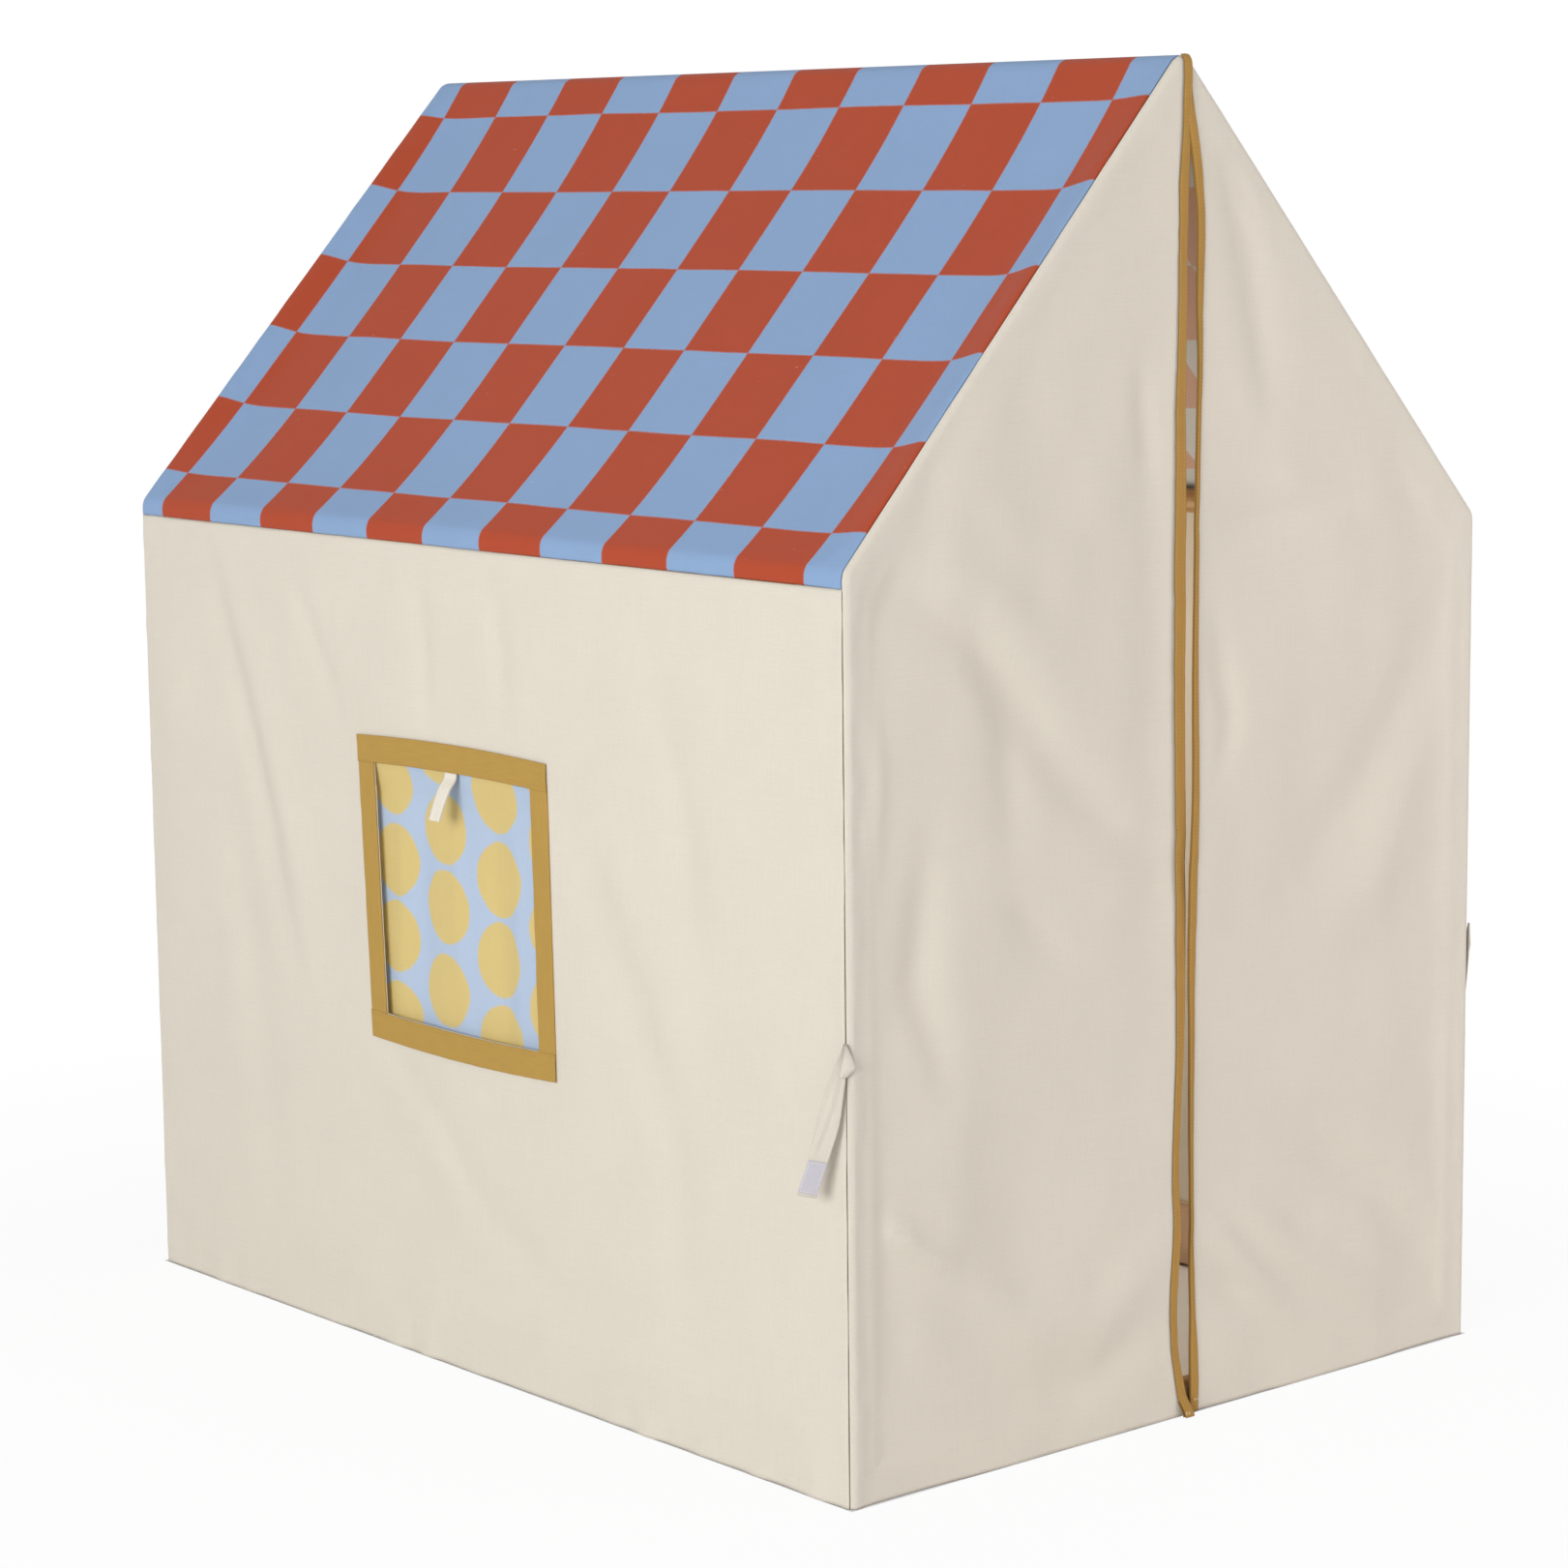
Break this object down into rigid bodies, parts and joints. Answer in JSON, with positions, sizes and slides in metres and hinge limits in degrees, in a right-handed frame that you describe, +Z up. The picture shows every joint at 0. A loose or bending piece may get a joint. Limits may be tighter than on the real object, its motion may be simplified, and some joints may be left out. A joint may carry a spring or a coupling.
{
  "type": "kids play tent",
  "caption": "House-shaped play tent: cotton cover with checked roof, side window and a slit door, over a frame of wooden poles.",
  "frame": {"origin": "middle of the floor area, on the floor that the tent stands on", "axes": "+Z up, -Y out of the door gable, +X across the gable, with the window wall at -X"},
  "size_m": [1.0234, 1.2785, 1.41],
  "materials": {
    "cotton": "cream cotton canvas",
    "roof_print": "cotton canvas printed in brick red and pale blue checks",
    "mustard_tape": "mustard cotton tape",
    "curtain_print": "thin cotton, pale blue with yellow dots",
    "webbing": "cream cotton webbing",
    "hook_tape": "white hook tape",
    "pine": "sanded pine",
    "moulding": "matt dark plastic"
  },
  "bodies": {
    "tent": {"side_wall_left": "cotton", "side_wall_right": "cotton", "back_gable": "cotton", "front_gable_left": "cotton", "front_gable_right": "cotton", "roof_left": "roof_print", "roof_right": "roof_print", "apex_binding_left": "mustard_tape", "apex_binding_right": "mustard_tape", "window_tape_top": "mustard_tape", "window_tape_bottom": "mustard_tape", "window_tape_front": "mustard_tape", "window_tape_back": "mustard_tape", "corner_post_front_left": "pine", "corner_post_front_right": "pine", "corner_post_back_left": "pine", "corner_post_back_right": "pine", "rafter_front_left": "pine", "rafter_front_right": "pine", "rafter_back_left": "pine", "rafter_back_right": "pine", "ridge_pole": "pine", "eave_rail_left": "pine", "eave_rail_right": "pine", "bottom_rail_left": "pine", "bottom_rail_right": "pine", "bottom_rail_front": "pine", "bottom_rail_back": "pine", "foot_corner_front_left": "moulding", "foot_corner_front_right": "moulding", "foot_corner_back_left": "moulding", "foot_corner_back_right": "moulding", "eave_corner_front_left": "moulding", "eave_corner_front_right": "moulding", "eave_corner_back_left": "moulding", "eave_corner_back_right": "moulding", "apex_corner_front": "moulding", "apex_corner_back": "moulding"},
    "left_flap": {"door_flap_left": "cotton", "door_binding_left": "mustard_tape"},
    "right_flap": {"door_flap_right": "cotton", "door_binding_right": "mustard_tape"},
    "curtain": {"window_curtain": "curtain_print"},
    "tab": {"window_tab": "webbing"},
    "left_strap": {"tie_strap_left": "webbing", "tie_patch_left": "hook_tape"},
    "right_strap": {"tie_strap_right": "webbing", "tie_patch_right": "hook_tape"}
  },
  "joints": [
    {"name": "left_flap_fold", "type": "hinge", "parent": "tent", "child": "left_flap", "pos_m": [-0.22, -0.631, 0], "axis": [-0.1542, 0, -0.988], "range_deg": [0, 160]},
    {"name": "right_flap_fold", "type": "hinge", "parent": "tent", "child": "right_flap", "pos_m": [0.22, -0.631, 0], "axis": [-0.1542, 0, 0.988], "range_deg": [0, 160]},
    {"name": "curtain_lift", "type": "hinge", "parent": "tent", "child": "curtain", "pos_m": [-0.4557, 0.008, 0.672], "axis": [0, -1, 0], "range_deg": [0, 80]},
    {"name": "tab_lift", "type": "hinge", "parent": "tent", "child": "tab", "pos_m": [-0.459, 0.008, 0.6597], "axis": [0, 1, 0], "range_deg": [0, 60]},
    {"name": "left_strap_swing", "type": "hinge", "parent": "tent", "child": "left_strap", "pos_m": [-0.4575, -0.631, 0.46], "axis": [0, 0, 1], "range_deg": [-10, 165]},
    {"name": "right_strap_swing", "type": "hinge", "parent": "tent", "child": "right_strap", "pos_m": [0.4575, -0.631, 0.46], "axis": [0, 0, -1], "range_deg": [-10, 165]}
  ]
}
